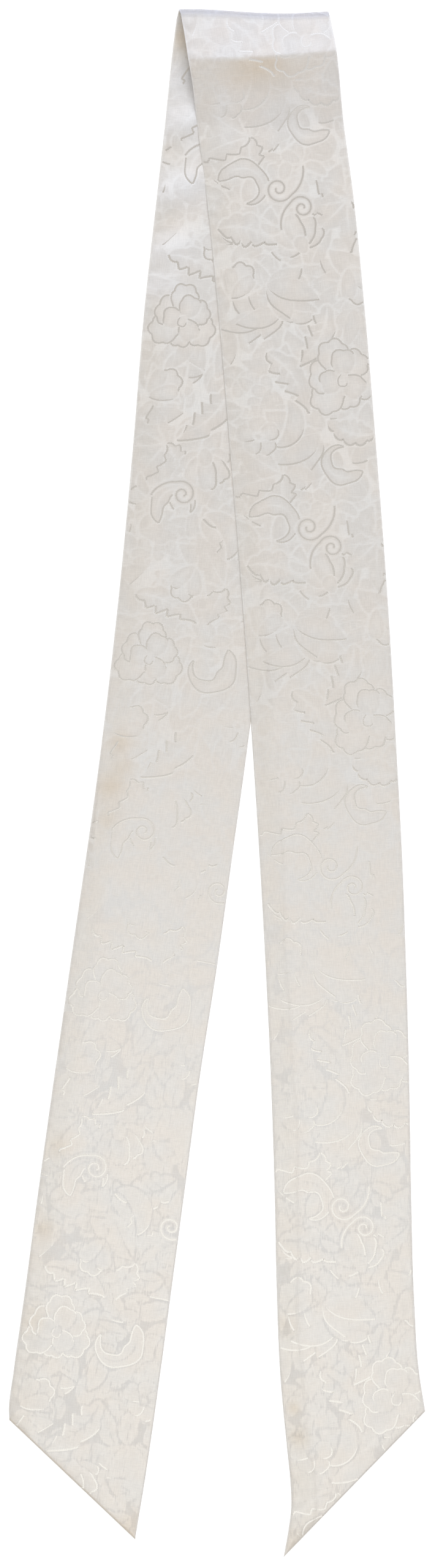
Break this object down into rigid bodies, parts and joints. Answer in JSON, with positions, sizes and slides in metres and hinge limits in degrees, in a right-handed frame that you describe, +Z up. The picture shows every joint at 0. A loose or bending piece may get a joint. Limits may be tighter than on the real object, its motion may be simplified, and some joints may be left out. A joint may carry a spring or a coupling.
{
  "type": "folded skinny scarf",
  "caption": "Long narrow silk jacquard scarf with slanted pointed ends, folded across its middle and laid flat with a soft roll at the fold.",
  "frame": {"origin": "middle of the scarf's footprint, on the surface that it lies on", "axes": "+Z up from the surface; +Y along the scarf, from the tips towards the fold; +X across it, towards the front tail's side"},
  "size_m": [0.2717, 1.0102, 0.0136],
  "materials": {
    "silk": "ivory silk jacquard with a soft sheen"
  },
  "bodies": {
    "root": {"front_tail_face": "silk", "front_tail_backing": "silk", "back_tail_face": "silk", "back_tail_backing": "silk", "fold_outer": "silk", "fold_inner": "silk"}
  },
  "joints": []
}
